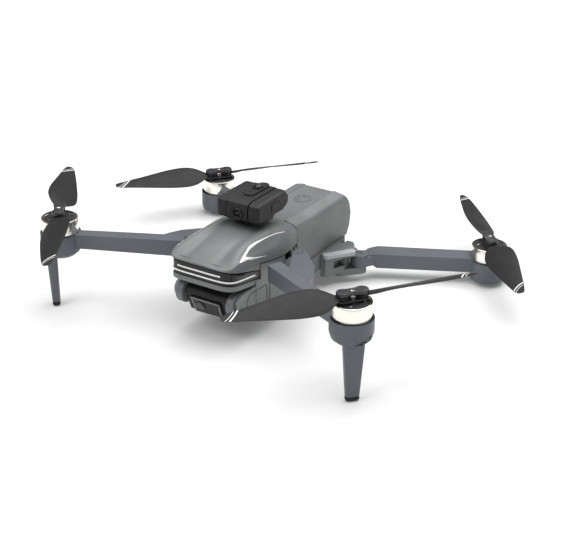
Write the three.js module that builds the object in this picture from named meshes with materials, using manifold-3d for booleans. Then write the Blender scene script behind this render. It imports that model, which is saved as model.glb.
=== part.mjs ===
// A folding camera quadcopter, in millimetres. The nose points along -Y, +X is the machine's left and +Z is up.
// Heights count from the ground, and lengths from the point midway between the motors; the whole is centred at the end.
// The left side is modelled and mirrored for the right.

import * as THREE from "three";
import { mergeVertices } from "three/addons/utils/BufferGeometryUtils.js";
import Module from "manifold-3d";

const wasm = await Module();
wasm.setup();

// ---------------------------------------------------------------- driving dimensions

const GAP = 0.3; // clearance between neighbouring pieces

// The four motors: place of the spin axis and height of the rim of the pod below it.
const FRONT = { x: 104.9, y: -87.1, rim: 49.6, name: "front" };
const REAR = { x: 107.6, y: 87.1, rim: 16.2, name: "rear" };
const POD_RADIUS = 12.75;
const POD_DEPTH = 14.6;
const BELL_RADIUS = 11.5;
const BELL_TOP = 9.8; // above the pod's rim, like the heights below
const HUB_TOP = 16.2;
const BLADE_LEVEL = 12.8;

// Propellers: radius, pivot distance from the shaft and resting angle of the hub.
const PROP_RADIUS = 76;
const PIVOT = 5.7;
const FRONT_PROP_ANGLE = 54;
const REAR_PROP_ANGLE = 129.5;

// Arm hinges, vertical axes.
const FRONT_HINGE = { x: 31.5, y: -24 };
const REAR_HINGE = { x: 35, y: 44 };
const PIN_RADIUS = 1.6;

// Arm beams: where the full section starts, and the heights of its top and underside.
const FRONT_BEAM = { x: 40.5, y: -56.2, top: 50.2, bottom: 39.8, width: 13 };
const REAR_BEAM = { x: 36.6, y: 52, top: 18.1, bottom: 7.9, width: 13.6 };

// Body.
const BELLY = 13;
const BODY_HALF = 24; // half-width at the front shoulders
const TAIL_HALF = 20.4; // half-width of the battery bay
const BATTERY_HALF = 20.9;
const SHOULDER_START = -46; // the shoulders run from here
const SHOULDER_END = -13; // to here along Y
const POCKET_START = -27; // the pocket behind the front hinge
const SEAM = -10; // the hood ends and the battery starts
const TAIL = 56;
const NOSE = { y: -64, half: 23.4, depth: 22.5, power: 6 };
const NOSE_TIP = NOSE.y - NOSE.depth;
const POCKET_FLOOR = 36.8;

// The light bar drops towards the rear: height at the nose's tip and fall per millimetre along Y.
const BAR_END = -55.3;
const BAR_LOW = { tip: 43.5, fall: 0.184 };
const BAR_HIGH = { tip: 52.5, fall: 0.3 };
const CHIN_LOW = { tip: 40.1, fall: 0.176 };
const LOWER_STRIP = { tip: 45.9, fall: 0.158 };
const STRIP_END = -60;
const SKIN = 1.8;

// Camera: the tilt axis runs along X through this point, and the face looks down by this angle at rest.
const CAMERA = { y: -73.6, z: 25.6, tilt: 22.5, half: 15.2 };

// Obstacle sensor module on the hood.
const MODULE = { front: -45.6, rear: -11, high: 79, seam: 7.6, half: 15.6, lens: 71, eye: -23.3 };

// ---------------------------------------------------------------- materials

function plastic(color, roughness) {
  return new THREE.MeshStandardMaterial({ color, roughness, metalness: 0 });
}

function metal(color, roughness) {
  return new THREE.MeshStandardMaterial({ color, roughness, metalness: 1 });
}

const SHELL_GREY = 0x6f7375;
const ARM_GREY = 0x5c606a;
const PROP_GREY = 0x39373b;
const MATTE_BLACK = 0x1d1d1f;
const GLOSS_BLACK = 0x0b0b0d;
const RUBBER_BLACK = 0x141414;
const LIGHT_WHITE = 0xf2f2f0;
const NICKEL = 0xcfc8b8;
const STEEL = 0xb8b8bc;
const COPPER = 0xb56a3a;
const BOARD_GREEN = 0x1f5a3a;

// ---------------------------------------------------------------- shape helpers

// A closed three.js geometry as a manifold-3d solid.
function solid(geometry) {
  const bare = new THREE.BufferGeometry();
  const flat = geometry.index ? geometry.toNonIndexed() : geometry;
  bare.setAttribute("position", flat.getAttribute("position"));
  const merged = mergeVertices(bare, 1e-4);
  return new wasm.Manifold(
    new wasm.Mesh({
      numProp: 3,
      vertProperties: merged.attributes.position.array,
      triVerts: new Uint32Array(merged.index.array),
    }),
  );
}

function join(...pieces) {
  return pieces.reduce((whole, piece) => whole.add(piece));
}

function cut(body, ...tools) {
  return tools.reduce((rest, tool) => rest.subtract(tool), body);
}

function geometryOf(body) {
  const mesh = body.getMesh();
  const geometry = new THREE.BufferGeometry();
  geometry.setAttribute("position", new THREE.BufferAttribute(mesh.vertProperties, 3));
  geometry.setIndex(new THREE.BufferAttribute(mesh.triVerts, 1));
  geometry.computeVertexNormals();
  return geometry;
}

function part(name, body, material) {
  const mesh = new THREE.Mesh(geometryOf(body), material);
  mesh.name = name;
  return mesh;
}

function block(x0, x1, y0, y1, z0, z1) {
  const box = new THREE.BoxGeometry(x1 - x0, y1 - y0, z1 - z0);
  return solid(box.translate((x0 + x1) / 2, (y0 + y1) / 2, (z0 + z1) / 2));
}

function disc(x, y, low, high, radius, segments = 32) {
  const cylinder = new THREE.CylinderGeometry(radius, radius, high - low, segments);
  return solid(cylinder.rotateX(Math.PI / 2).translate(x, y, (low + high) / 2));
}

function crossDisc(left, right, y, z, radius, segments = 32) {
  const cylinder = new THREE.CylinderGeometry(radius, radius, right - left, segments);
  return solid(cylinder.rotateZ(-Math.PI / 2).translate((left + right) / 2, y, z));
}

function lengthDisc(x, front, rear, z, radius, segments = 32) {
  const cylinder = new THREE.CylinderGeometry(radius, radius, rear - front, segments);
  return solid(cylinder.translate(x, (front + rear) / 2, z));
}

function outline(points) {
  return new THREE.Shape(points.map(([x, y]) => new THREE.Vector2(x, y)));
}

// An upright prism over an outline in X and Y.
function prism(points, low, high) {
  const body = new THREE.ExtrudeGeometry(outline(points), { depth: high - low, bevelEnabled: false });
  return solid(body.translate(0, 0, low));
}

// A prism along X over an outline in Y and Z.
function crossPrism(points, left, right) {
  const body = new THREE.ExtrudeGeometry(outline(points), { depth: right - left, bevelEnabled: false });
  const axes = new THREE.Matrix4().makeBasis(
    new THREE.Vector3(0, 1, 0),
    new THREE.Vector3(0, 0, 1),
    new THREE.Vector3(1, 0, 0),
  );
  return solid(body.applyMatrix4(axes).translate(left, 0, 0));
}

// A body of revolution about a vertical axis, from [radius, height] points.
function turned(profile, segments = 40) {
  const points = profile.map(([r, z]) => new THREE.Vector2(r, z));
  return solid(new THREE.LatheGeometry(points, segments).rotateX(Math.PI / 2));
}

// A closed body through rings of equal numbers of points, listed anticlockwise seen from the last ring.
function loft(rings) {
  const count = rings[0].length;
  const positions = rings.flat().flatMap((p) => [p.x, p.y, p.z]);
  const faces = [];
  for (let j = 0; j + 1 < rings.length; j += 1) {
    for (let i = 0; i < count; i += 1) {
      const a = j * count + i;
      const b = j * count + ((i + 1) % count);
      faces.push(a, b, b + count, a, b + count, a + count);
    }
  }
  const last = (rings.length - 1) * count;
  const flat = (ring) => THREE.ShapeUtils.triangulateShape(flatten(ring), []);
  flat(rings[0]).forEach(([a, b, c]) => faces.push(a, c, b));
  flat(rings[rings.length - 1]).forEach(([a, b, c]) => faces.push(last + a, last + b, last + c));
  const geometry = new THREE.BufferGeometry();
  geometry.setAttribute("position", new THREE.Float32BufferAttribute(positions, 3));
  geometry.setIndex(faces);
  return solid(geometry);
}

// A planar ring's points in its own plane, seen from the side that the ring runs anticlockwise round.
function flatten(ring) {
  const normal = new THREE.Vector3();
  ring.forEach((p, i) => normal.add(new THREE.Vector3().crossVectors(p, ring[(i + 1) % ring.length])));
  const turn = new THREE.Quaternion().setFromUnitVectors(normal.normalize(), new THREE.Vector3(0, 0, 1));
  return ring.map((p) => {
    const q = p.clone().applyQuaternion(turn);
    return new THREE.Vector2(q.x, q.y);
  });
}

function roundedRectangle(width, height, radius, steps = 3) {
  const points = [];
  for (let corner = 0; corner < 4; corner += 1) {
    const cx = (width / 2 - radius) * (corner === 0 || corner === 3 ? 1 : -1);
    const cy = (height / 2 - radius) * (corner < 2 ? 1 : -1);
    for (let i = 0; i <= steps; i += 1) {
      const angle = (Math.PI / 2) * (corner + i / steps);
      points.push([cx + radius * Math.cos(angle), cy + radius * Math.sin(angle)]);
    }
  }
  return points;
}

// The outline of a strip between two discs: a capsule with ends of its own radius each.
function capsule(x0, y0, r0, x1, y1, r1, steps = 10) {
  const direction = Math.atan2(y1 - y0, x1 - x0);
  const lean = Math.acos((r0 - r1) / Math.hypot(x1 - x0, y1 - y0));
  const points = [];
  for (let i = 0; i <= steps; i += 1) {
    const angle = direction - lean + (2 * lean * i) / steps;
    points.push([x1 + r1 * Math.cos(angle), y1 + r1 * Math.sin(angle)]);
  }
  for (let i = 0; i <= steps; i += 1) {
    const angle = direction + lean + ((2 * Math.PI - 2 * lean) * i) / steps;
    points.push([x0 + r0 * Math.cos(angle), y0 + r0 * Math.sin(angle)]);
  }
  return points;
}

function mirrorPoints(points) {
  return points.map(([x, y]) => [-x, y]).reverse();
}

// ---------------------------------------------------------------- body outline

// Half-width of the body's sides behind the nose.
function sideHalf(y) {
  if (y < SHOULDER_START) {
    return THREE.MathUtils.mapLinear(y, NOSE.y, SHOULDER_START, NOSE.half, BODY_HALF);
  }
  return BODY_HALF;
}

// The nose's plan outline, from the left side round the front to the right side, moved in by an inset.
function nosePath(inset, end, steps = 26) {
  const half = NOSE.half - inset;
  const depth = NOSE.depth - inset;
  const points = [[sideHalf(end) - inset, end]];
  for (let i = 0; i <= steps; i += 1) {
    const angle = (Math.PI * i) / steps;
    const c = Math.cos(angle);
    const s = Math.max(0, Math.sin(angle));
    const x = half * Math.sign(c) * Math.abs(c) ** (2 / NOSE.power);
    points.push([x, NOSE.y - depth * s ** (2 / NOSE.power)]);
  }
  points.push([inset - sideHalf(end), end]);
  return points.reverse();
}

// The height at Y of an edge that falls towards the rear.
function edgeAt(edge, y) {
  return edge.tip - edge.fall * (y - NOSE_TIP);
}

// The space between two such edges, from ahead of the nose back to an end.
function betweenEdges(lower, upper, end, lift = 0, drop = 0) {
  const front = NOSE_TIP - 4;
  return crossPrism(
    [
      [front, edgeAt(lower, front) + lift],
      [end, edgeAt(lower, end) + lift],
      [end, edgeAt(upper, end) - drop],
      [front, edgeAt(upper, front) - drop],
    ],
    -30,
    30,
  );
}

// A wall that follows the nose between two insets and two falling edges.
function noseBand(outer, inner, end, space) {
  return prism([...nosePath(outer, end), ...nosePath(inner, end).reverse()], 30, 58).intersect(space);
}

// ---------------------------------------------------------------- body shells

// Heights of the hood across its width, at stations along its length.
const HOOD_ACROSS = [0, 6, 11, 16, 19.5, 22, 26];
const HOOD_STATIONS = [
  [-90, [53.4, 53.4, 53.3, 53.2, 53.0, 52.8, 52.4]],
  [-84, [54.8, 54.7, 54.3, 54.2, 54.2, 54.0, 53.4]],
  [-78, [56.6, 56.4, 55.7, 56.6, 57.0, 56.3, 54.0]],
  [-70, [58.8, 58.5, 57.8, 59.6, 59.4, 57.2, 53.0]],
  [-60, [60.6, 60.3, 59.6, 61.2, 59.6, 56.3, 51.5]],
  [-48, [61.6, 61.3, 60.7, 61.6, 59.9, 56.0, 50.5]],
  [-36, [61.4, 61.1, 60.6, 61.2, 59.6, 56.0, 50.0]],
  [-24, [60.0, 59.7, 59.3, 59.4, 58.2, 56.2, 49.5]],
  [SEAM - GAP, [57.0, 56.8, 56.2, 55.2, 53.4, 49.6, 43.0]],
];

// The space below the hood's upper surface, moved down by a drop.
function hoodSpace(drop) {
  const floor = 40;
  const rings = HOOD_STATIONS.map(([y, heights]) => {
    const top = HOOD_ACROSS.map((x, i) => new THREE.Vector3(x, y, heights[i] - drop));
    const other = top.slice(1).map((p) => new THREE.Vector3(-p.x, p.y, p.z));
    const edge = HOOD_ACROSS[HOOD_ACROSS.length - 1];
    const base = [new THREE.Vector3(-edge, y, floor), new THREE.Vector3(edge, y, floor)];
    return [...base, ...top.reverse(), ...other];
  });
  return loft(rings.reverse());
}

// The hood's plan, which narrows to the battery's width at the seam.
function hoodPlan(inset) {
  const left = [
    [BODY_HALF - inset, -38],
    [22.4 - inset, -22],
    [BATTERY_HALF - inset, SEAM - GAP - inset],
  ];
  return [...nosePath(inset, SHOULDER_START), ...left, ...mirrorPoints(left)];
}

// The line of the hood's lower edge, seen from the side.
const HOOD_EDGE = [
  [-92, edgeAt(BAR_HIGH, -92) + GAP],
  [BAR_END + GAP, edgeAt(BAR_HIGH, BAR_END) + GAP],
  [BAR_END + GAP, 47.6],
  [SHOULDER_START, 45.6],
  [-27, 41.8],
  [0, 41.8],
];

function topShell() {
  const skin = prism(hoodPlan(0), 41, 66).intersect(hoodSpace(0));
  const hollow = prism(hoodPlan(SKIN), 38, 66).intersect(hoodSpace(SKIN));
  const below = crossPrism([[-92, 36], [0, 36], ...HOOD_EDGE.slice().reverse()], -30, 30);
  return cut(skin, hollow, below);
}

// Where the chassis side ends and the battery's flank begins.
const FLANK = [
  [SEAM + 0.5, 39.4],
  [7, 24.3],
];

// The panels that reach forward beside the camera, seen from the side.
const SIDE_PANEL = [
  [-57, 13.2],
  [-65.5, 14.6],
  [-74, 19],
  [-77.6, 23.2],
  [-79.2, 27],
  [-79.2, 30.2],
  [-77.4, 32.8],
  [-74.5, 34.2],
  [-57, 34.6],
];

function lowerShell() {
  const tubPlan = [
    [TAIL_HALF, -8],
    [TAIL_HALF, 50],
    [16.5, TAIL],
  ];
  const frontPlan = [
    [sideHalf(-60), -60],
    [BODY_HALF, SHOULDER_START],
    [BODY_HALF, -38],
    [22.4, -22],
    [BATTERY_HALF, -12],
  ];
  const left = [...frontPlan, ...tubPlan];
  const tub = prism([...left, ...mirrorPoints(left)], BELLY, 51);
  const rearOfBar = BAR_END + GAP;
  const aboveSides = crossPrism(
    [
      [-70, 60],
      [-70, edgeAt(BAR_LOW, -70) - GAP],
      [rearOfBar, edgeAt(BAR_LOW, rearOfBar) - GAP],
      [rearOfBar, 47.3],
      [SHOULDER_START, 45.3],
      [-27, 41.5],
      [-12, 41.5],
      [SEAM, 39.1],
      [6.6, 24],
      [70, 24],
      [70, 60],
    ],
    -40,
    40,
  );
  const frontRoom = block(-20.8, 20.8, -57, -16, 15.2, 60);
  const rearRoom = block(-17.6, 17.6, -16.5, 52, 15.2, 60);
  const chin = prism(nosePath(0.6, -55.2), 30, 50).intersect(betweenEdges(CHIN_LOW, BAR_LOW, -55.2, 0, GAP));
  const backing = noseBand(5, 7, -55.2, betweenEdges(BAR_LOW, BAR_HIGH, -55.2, -0.6, 0.4));
  let body = cut(tub, aboveSides, frontRoom, rearRoom);
  body = join(body, chin, backing);
  for (const side of [-1, 1]) {
    const from = side > 0 ? 21.3 : -23.3;
    body = join(body, crossPrism(SIDE_PANEL, from, from + 2));
    const hinge = [side * FRONT_HINGE.x, FRONT_HINGE.y];
    const lug = prism(capsule(side * 19, -22, 8, hinge[0], hinge[1], 5.4), 32.2, POCKET_FLOOR);
    body = join(body, cut(lug, block(-20.7, 20.7, -60, 0, 30, 40)));
    const [near, far] = side > 0 ? [20, 30] : [-30, -20];
    const pocket = block(near, far, POCKET_START, SHOULDER_END, POCKET_FLOOR, 50);
    const [slotNear, slotFar] = side > 0 ? [23.1, 25] : [-25, -23.1];
    const slot = block(slotNear, slotFar, SHOULDER_START - 0.5, SHOULDER_START + 0.4, 17.5, 42.1);
    const bore = disc(hinge[0], hinge[1], 33.4, 40, PIN_RADIUS + GAP, 20);
    body = cut(body, pocket, slot, bore);
  }
  const windowSocket = disc(0, -30, BELLY - 1, BELLY + 1, 6.2);
  return cut(body, windowSocket);
}

function lightBar() {
  return noseBand(0.9, 4.6, BAR_END, betweenEdges(BAR_LOW, BAR_HIGH, BAR_END));
}

function lowerStrip() {
  return noseBand(0.1, 0.6, STRIP_END, betweenEdges(LOWER_STRIP, LOWER_STRIP, STRIP_END, -0.6, -0.6));
}

// The upper strip keeps to the flat of the nose.
function upperStrip() {
  return noseBand(0.1, 0.6, STRIP_END, block(-15.5, 15.5, NOSE_TIP - 1, STRIP_END - 10, 48.5, 49.6));
}

// The battery's section across, by [half-width, height], from its lower edge to the middle of its deck.
const BATTERY_SECTION = [
  [19.3, 24.3],
  [BATTERY_HALF, 40],
  [BATTERY_HALF, 46],
  [20.4, 50.5],
  [19.3, 52.8],
  [17.8, 53.7],
  [11.8, 55.4],
  [10.8, 54.4],
];

function batteryCase() {
  const ring = (y, lift) => {
    const left = BATTERY_SECTION.map(([x, z]) => new THREE.Vector3(x, y, z > 50 ? z + lift : z));
    const right = left.map((p) => new THREE.Vector3(-p.x, y, p.z)).reverse();
    return [...left, ...right];
  };
  const whole = loft([ring(58.6, -1), ring(50, 0), ring(8, 0.2), ring(SEAM, 1)]);
  const side = [
    ...FLANK,
    [55.6, 24.3],
    [58.2, 34],
    [55.4, 48],
    [49.8, 60],
    [SEAM, 60],
  ];
  const button = disc(POWER_BUTTON.x, POWER_BUTTON.y, POWER_BUTTON.top - 2.2, 60, POWER_BUTTON.radius + GAP);
  return cut(whole.intersect(crossPrism(side, -30, 30)), button);
}

// The power button's disc and its travel.
const POWER_BUTTON = { x: 0, y: 29, radius: 5.6, top: 54.7 };

function powerButton() {
  const { x, y, radius, top } = POWER_BUTTON;
  return disc(x, y, top - 1.3, top, radius);
}

function mainBoard() {
  return block(-15, 15, -50, -20, 19, 20.6);
}

function bellySensor() {
  return turnedAt(0, -30, [[0, 11.6], [4.6, 11.6], [5.8, 12.6], [5.8, 13.7], [0, 13.7]]);
}

function turnedAt(x, y, profile, segments) {
  return turned(profile, segments).translate([x, y, 0]);
}

// ---------------------------------------------------------------- camera

// A point of the camera's side view, given forward of the tilt axis and above it, in the tilted frame.
function cameraPoint(forward, up) {
  const angle = THREE.MathUtils.degToRad(CAMERA.tilt);
  return [
    CAMERA.y - forward * Math.cos(angle) + up * -Math.sin(angle),
    CAMERA.z - forward * Math.sin(angle) + up * Math.cos(angle),
  ];
}

function cameraPrism(points, left, right) {
  const flat = points.map(([forward, up]) => cameraPoint(forward, up));
  return crossPrism(flat.reverse(), left, right);
}

function cameraBody() {
  const side = [[4.2, -9.6], [4.2, 5.2], [1.6, 7], [-4, 7], [-7, 4], [-7, -6], [-3.6, -9.6]];
  const trunnions = crossDisc(-CAMERA.half - 2, CAMERA.half + 2, CAMERA.y, CAMERA.z, 3.2, 20);
  return join(cameraPrism(side, -CAMERA.half, CAMERA.half), trunnions);
}

function cameraPanel() {
  return cameraPrism([[4.5, -9.2], [4.5, 4.8], [5.7, 4.3], [5.7, -8.7]], -11, 11);
}

// The lens barrel stands off the panel on the machine's right.
function cameraLens() {
  const length = 0.9;
  const angle = THREE.MathUtils.degToRad(CAMERA.tilt);
  const [y, z] = cameraPoint(6 + length / 2, -2.2);
  const barrel = new THREE.CylinderGeometry(3.2, 3.4, length, 28);
  return solid(barrel.rotateX(Math.PI + angle).translate(-4.6, y, z));
}

function yokeCheek() {
  const { y, z, radius, rear } = CHEEK;
  const ring = crossDisc(CAMERA.half + 0.6, 20.9, y, z, radius, 36);
  const stem = block(CAMERA.half + 0.6, 20.9, y, rear, z - radius, z + radius);
  const bore = crossDisc(CAMERA.half - 1, CAMERA.half + 2.4, CAMERA.y, CAMERA.z, 3.6, 20);
  return cut(join(ring, stem), bore);
}

// The round front end of the camera's yoke, and where it meets the body.
const CHEEK = { y: -74.6, z: 27.2, radius: 7.2, rear: -60.3 };

// ---------------------------------------------------------------- obstacle sensor module

// The module's side view.
const MODULE_SIDE = [
  [-44.4, 66.4],
  [-29.6, 64.2],
  [-27.4, 66.8],
  [-17, 66.6],
  [-12.2, 69.6],
  [-11, 71.5],
  [-11, 75.6],
  [-14, 79],
  [-41.7, 79],
  [-44.6, 77.7],
  [-45.6, 75.4],
  [-45.6, 67.6],
];

// An end's outline at X, moved in by an inset.
function moduleRing(x, inset) {
  const middle = { y: (MODULE.front + MODULE.rear) / 2, z: 72 };
  const narrow = 1 - (2 * inset) / (MODULE.rear - MODULE.front);
  const flat = 1 - inset / (MODULE.high - middle.z);
  return MODULE_SIDE.map(
    ([y, z]) => new THREE.Vector3(x, middle.y + (y - middle.y) * narrow, middle.z + (z - middle.z) * flat),
  );
}

function moduleCentre() {
  const seam = MODULE.seam;
  const plate = prism(capsule(0, -31, 3.9, 0, -16.5, 3.9), MODULE.high - 1, MODULE.high + 0.9);
  const socket = disc(0, -22.2, MODULE.high - 0.4, MODULE.high + 3, 3.3, 24);
  const eye = lengthDisc(0, MODULE.front - 2, MODULE.front + 2.4, MODULE.lens, 4.4);
  return cut(join(crossPrism(MODULE_SIDE, -seam, seam), plate), socket, eye);
}

function moduleCap() {
  const start = MODULE.seam + 0.4;
  const cap = loft([
    moduleRing(start, 0.2),
    moduleRing(MODULE.half - 1.8, 0.2),
    moduleRing(MODULE.half, 1.3),
  ]);
  const eye = crossDisc(MODULE.half - 1.2, 30, MODULE.eye, 71.9, 2.6, 24);
  return cut(cap, eye);
}

function moduleBase() {
  return prism(roundedRectangle(14, 25, 3).map(([x, y]) => [x, y - 28]), 62.2, 63.9);
}

function moduleDome() {
  const base = MODULE.high - 0.1;
  const profile = [[0, base], [3, base], [3, base + 1]];
  for (let i = 1; i <= 6; i += 1) {
    const angle = (Math.PI / 2) * (i / 6);
    profile.push([3 * Math.cos(angle), base + 1 + 2.1 * Math.sin(angle)]);
  }
  profile[profile.length - 1][0] = 0;
  return turnedAt(0, -22.2, profile, 24);
}

function moduleFrontLens() {
  const face = MODULE.front - 0.7;
  const ring = lengthDisc(0, face, MODULE.front + 2.1, MODULE.lens, 4.1);
  return cut(ring, lengthDisc(0, face - 1, face + 1.2, MODULE.lens, 2.2, 24));
}

// ---------------------------------------------------------------- motors and propellers

// Motor pieces are built about the spin axis with the pod's rim at height 0.

const FRONT_POD_BASE = [[9, -POD_DEPTH], [11.6, -12.3], [POD_RADIUS, -8.6]];
const REAR_POD_BASE = [[9.6, -POD_DEPTH], [12, -13], [POD_RADIUS, -9.8]];

function podBody(base) {
  const profile = [
    [0, -POD_DEPTH],
    ...base,
    [POD_RADIUS, 0],
    [POD_RADIUS - 1, 0],
    [POD_RADIUS - 1.2, -1.4],
    [3.2, -1.4],
    [3.2, 6.4],
    [1.9, 6.4],
    [1.9, -4],
    [0, -4],
  ];
  return turned(profile, 24);
}

function stator() {
  const radius = 9.4;
  return turned([[3.5, 0.6], [radius, 0.6], [radius, 6], [3.5, 6], [3.5, 0.6]], 24);
}

function bell() {
  const profile = [
    [0, -3.4],
    [1.5, -3.4],
    [1.5, BELL_TOP - 1.8],
    [10.1, BELL_TOP - 1.8],
    [10.1, 0.4],
    [BELL_RADIUS, 0.4],
    [BELL_RADIUS, BELL_TOP - 0.5],
    [BELL_RADIUS - 0.5, BELL_TOP],
    [0, BELL_TOP],
  ];
  return turned(profile, 24);
}

// Two plates joined by the shaft column and by the pins that the blades turn on.
function propHub() {
  const plate = capsule(-PIVOT, 0, 3.9, PIVOT, 0, 3.9, 7);
  const upper = prism(plate, BLADE_LEVEL + 1.2, HUB_TOP);
  const lower = prism(plate, BELL_TOP + GAP, BLADE_LEVEL - 1.2);
  const column = disc(0, 0, BELL_TOP + GAP, HUB_TOP, 2.1, 14);
  const pins = [-PIVOT, PIVOT].map((x) => disc(x, 0, BELL_TOP + GAP, HUB_TOP, 1.2, 10));
  return join(upper, lower, column, ...pins);
}

// Blade stations: share of the length, chord, pitch in degrees and share of the chord ahead of the axis.
const BLADE_STATIONS = [
  [0.035, 4.6, 2, 0.5],
  [0.065, 8, 5, 0.5],
  [0.11, 12.8, 12, 0.5],
  [0.2, 16.6, 22, 0.48],
  [0.32, 17.4, 24, 0.46],
  [0.46, 16, 22, 0.45],
  [0.64, 12.2, 19, 0.45],
  [0.82, 8.4, 15, 0.45],
  [0.95, 5.2, 12, 0.44],
  [1, 2.6, 11, 0.44],
];

// A blade along +X from its pivot, with its leading edge towards -Y.
function blade() {
  const length = PROP_RADIUS - PIVOT;
  const rings = BLADE_STATIONS.map(([share, chord, pitch, ahead]) => {
    const angle = THREE.MathUtils.degToRad(pitch);
    const thick = THREE.MathUtils.lerp(1.7, 0.8, Math.sqrt(share));
    const section = [
      [-ahead, 0],
      [-ahead + 0.4, -0.45],
      [1 - ahead, 0],
      [-ahead + 0.6, 0.45],
      [-ahead + 0.25, 0.5],
    ];
    return section.map(([across, height]) => {
      const y = across * chord;
      const z = height * thick;
      const side = y * Math.cos(angle) + z * Math.sin(angle);
      return new THREE.Vector3(share * length, side, z * Math.cos(angle) - y * Math.sin(angle));
    });
  });
  const root = disc(0, 0, -0.85, 0.85, 3.3, 16);
  const bore = disc(0, 0, -2, 2, 1.2 + GAP, 12);
  return cut(join(root, loft(rings)), bore).translate([0, 0, BLADE_LEVEL]);
}

function propeller(station, angle, side) {
  const names = side + "_" + station.name;
  const group = new THREE.Group();
  group.position.set(station.x, station.y, station.rim);
  group.rotation.z = THREE.MathUtils.degToRad(angle);
  group.add(part(names + "_motor_bell", bell(), metal(NICKEL, 0.2)));
  group.add(part(names + "_prop_hub", propHub(), plastic(MATTE_BLACK, 0.5)));
  for (const [letter, turn] of [["a", 0], ["b", Math.PI]]) {
    const carrier = new THREE.Group();
    carrier.position.set(PIVOT * Math.cos(turn), 0, 0);
    carrier.rotation.z = turn;
    const turnedBlade = station === FRONT ? blade() : blade().mirror([0, 1, 0]);
    carrier.add(part(names + "_blade_" + letter, turnedBlade, plastic(PROP_GREY, 0.5)));
    group.add(carrier);
  }
  return group;
}

// ---------------------------------------------------------------- arms

// A point of an arm's section: along the beam from its start, to its left, and up.
function beamFrame(beam, station) {
  const along = new THREE.Vector2(station.x - beam.x, station.y - beam.y);
  const length = along.length();
  along.normalize();
  const place = (s, v, z) => new THREE.Vector3(beam.x + s * along.x - v * along.y, beam.y + s * along.y + v * along.x, z);
  return { length, place };
}

function frontArm() {
  const { length, place } = beamFrame(FRONT_BEAM, FRONT);
  const { top, bottom, width } = FRONT_BEAM;
  const section = (s, low, high, grow) => {
    const half = (width / 2) * grow;
    return [
      place(s, -half, low),
      place(s, half, low + 0.8),
      place(s, half, high - 3.6 * grow),
      place(s, half - 4, high),
      place(s, -half, high),
    ].reverse();
  };
  const beam = loft(
    [
      section(-7.4, bottom, top, 0.98),
      section(0, bottom, top, 1),
      section(length - 6, bottom + 1.4, top, 0.92),
    ].reverse(),
  );
  const inner = block(0, 25.4, -80, 0, 30, 60);
  const { x, y } = FRONT_HINGE;
  const root = prism(
    [...capsule(x + 2, y - 2, 4.4, x, y, 4.4).slice(0, 11), [33.5, -37], [41, -52], [58, -56], [53.5, -44], [49.5, -36]],
    37.4,
    44.8,
  );
  const knuckle = disc(x, y, 37.4, 44.8, 4.4, 28);
  const pod = podBody(FRONT_POD_BASE).translate([FRONT.x, FRONT.y, FRONT.rim]);
  const rimRoom = disc(FRONT.x, FRONT.y, FRONT.rim - 1.4, FRONT.rim + 9, POD_RADIUS - 1.1, 24);
  const bore = disc(x, y, 30, 50, PIN_RADIUS + GAP, 20);
  const slot = slotTool(FRONT);
  return cut(join(cut(join(cut(beam, inner), root, knuckle), rimRoom), pod), bore, slot, legSocket());
}

// A window through the outer wall of a pod, above the leg.
function slotTool(station) {
  const away = Math.atan2(station.y - FRONT_BEAM.y, station.x - FRONT_BEAM.x);
  const box = new THREE.BoxGeometry(4.4, 11.4, 4.8);
  box.rotateZ(away);
  const reach = POD_RADIUS - 0.4;
  return solid(box.translate(station.x + reach * Math.cos(away), station.y + reach * Math.sin(away), station.rim - 10.4));
}

// The leg hangs under the outer half of the pod.
const LEG = { x: 108.7, y: -91.5, top: FRONT.rim - POD_DEPTH + 3, foot: 2.2 };
const LEG_WIDE = 12.2;
const LEG_THICK = 7.4;

function legSection(z, wide, thick, shift) {
  const away = Math.atan2(LEG.y - FRONT_HINGE.y, LEG.x - FRONT_HINGE.x);
  const c = Math.cos(away);
  const s = Math.sin(away);
  const corners = roundedRectangle(thick, wide, 1.1, 1);
  return corners.map(([a, b]) => {
    const out = a + shift;
    return new THREE.Vector3(LEG.x + out * c - b * s, LEG.y + out * s + b * c, z);
  });
}

function frontLeg() {
  const socketTop = LEG.top - GAP;
  return loft([
    legSection(LEG.foot + GAP, 8.2, 4.9, 0),
    legSection(LEG.top - 4.5, LEG_WIDE, LEG_THICK - 1, 0.6),
    legSection(socketTop, LEG_WIDE, LEG_THICK - 1, 0.6),
  ]);
}

function legSocket() {
  return loft([
    legSection(LEG.top - 8, LEG_WIDE + 0.7, LEG_THICK - 0.3, 0.6),
    legSection(LEG.top, LEG_WIDE + 0.7, LEG_THICK - 0.3, 0.6),
  ]);
}

function frontFoot() {
  return loft([legSection(0, 7.2, 4, 0), legSection(0.7, 8.2, 4.9, 0), legSection(LEG.foot, 8.3, 4.9, 0)]);
}

// Heights of the rear arm's knuckle, which stands on the bracket's lug.
const KNUCKLE = { low: 10.2, high: 18.1 };

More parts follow.
